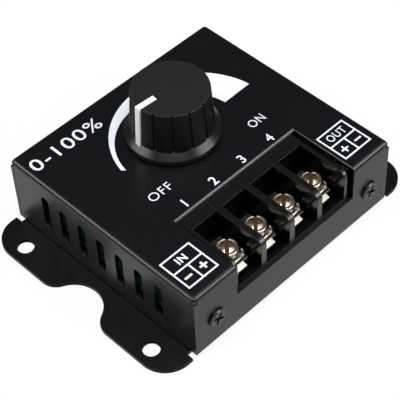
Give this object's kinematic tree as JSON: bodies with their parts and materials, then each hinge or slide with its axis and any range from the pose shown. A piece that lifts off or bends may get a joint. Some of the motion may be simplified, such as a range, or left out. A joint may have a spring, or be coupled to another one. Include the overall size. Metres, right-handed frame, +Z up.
{
  "type": "rotary led dimmer",
  "caption": "Rotary LED dimmer: folded black sheet case with drilled side flanges, vent slots, a fluted knob with a pointer and a barrier terminal block with clamp screws.",
  "frame": {"origin": "on the mounting plane, under the middle of the case", "axes": "+X to the right along the line through the two flanges, +Y to the back away from the terminals, +Z up"},
  "size_m": [0.0904, 0.067, 0.0376],
  "materials": {
    "black_paint": "fine matt powder coat",
    "black_screw": "blackened steel",
    "board_green": "solder resist",
    "brass": "turned",
    "steel": "zinc plated",
    "black_plastic": "satin moulding",
    "grey_plastic": "satin moulding",
    "knob_plastic": "matt moulding",
    "white_plastic": "satin",
    "tan_plastic": "lacquer",
    "nickel": "bright nickel plate"
  },
  "bodies": {
    "case": {"top_cover": "black_paint", "bottom_plate": "black_paint", "case_screws": "black_screw", "circuit_board": "board_green", "board_standoffs": "brass", "board_screws": "steel", "terminal_housing": "black_plastic", "potentiometer_body": "grey_plastic", "potentiometer_bushing": "brass", "potentiometer_washer": "steel", "potentiometer_nut": "steel", "potentiometer_terminals": "steel", "power_transistors": "black_plastic", "filter_capacitors": "grey_plastic", "flyback_diode": "black_plastic", "timer_chip": "black_plastic", "voltage_regulator": "black_plastic", "resistors": "tan_plastic", "small_capacitors": "tan_plastic", "terminal_plate_1": "nickel", "terminal_plate_2": "nickel", "terminal_plate_3": "nickel", "terminal_plate_4": "nickel"},
    "knob": {"knob": "knob_plastic", "knob_pointer": "white_plastic", "potentiometer_shaft": "steel"},
    "clamp_1": {"clamp_plate_1": "nickel", "lock_washer_1": "nickel"},
    "screw_1": {"terminal_screw_1": "nickel"},
    "clamp_2": {"clamp_plate_2": "nickel", "lock_washer_2": "nickel"},
    "screw_2": {"terminal_screw_2": "nickel"},
    "clamp_3": {"clamp_plate_3": "nickel", "lock_washer_3": "nickel"},
    "screw_3": {"terminal_screw_3": "nickel"},
    "clamp_4": {"clamp_plate_4": "nickel", "lock_washer_4": "nickel"},
    "screw_4": {"terminal_screw_4": "nickel"}
  },
  "joints": [
    {"name": "knob_turn", "type": "hinge", "parent": "case", "child": "knob", "pos_m": [0, 0.0094, 0.03], "axis": [0, 0, 1], "range_deg": [-235.8, 64.2]},
    {"name": "clamp_1_lift", "type": "slide", "parent": "case", "child": "clamp_1", "axis": [0, 0, 1], "range_m": [0, 0.0025]},
    {"name": "screw_1_turn", "type": "hinge", "parent": "clamp_1", "child": "screw_1", "pos_m": [-0.015, -0.024, 0.016], "axis": [0, 0, 1], "range_deg": [0, 1500]},
    {"name": "clamp_2_lift", "type": "slide", "parent": "case", "child": "clamp_2", "axis": [0, 0, 1], "range_m": [0, 0.0025]},
    {"name": "screw_2_turn", "type": "hinge", "parent": "clamp_2", "child": "screw_2", "pos_m": [-0.005, -0.024, 0.016], "axis": [0, 0, 1], "range_deg": [0, 1500]},
    {"name": "clamp_3_lift", "type": "slide", "parent": "case", "child": "clamp_3", "axis": [0, 0, 1], "range_m": [0, 0.0025]},
    {"name": "screw_3_turn", "type": "hinge", "parent": "clamp_3", "child": "screw_3", "pos_m": [0.005, -0.024, 0.016], "axis": [0, 0, 1], "range_deg": [0, 1500]},
    {"name": "clamp_4_lift", "type": "slide", "parent": "case", "child": "clamp_4", "axis": [0, 0, 1], "range_m": [0, 0.0025]},
    {"name": "screw_4_turn", "type": "hinge", "parent": "clamp_4", "child": "screw_4", "pos_m": [0.015, -0.024, 0.016], "axis": [0, 0, 1], "range_deg": [0, 1500]}
  ],
  "couplings": [
    {"joint": "screw_1_turn", "follows": "clamp_1_lift", "rad_per_m": 10472},
    {"joint": "screw_2_turn", "follows": "clamp_2_lift", "rad_per_m": 10472},
    {"joint": "screw_3_turn", "follows": "clamp_3_lift", "rad_per_m": 10472},
    {"joint": "screw_4_turn", "follows": "clamp_4_lift", "rad_per_m": 10472}
  ]
}
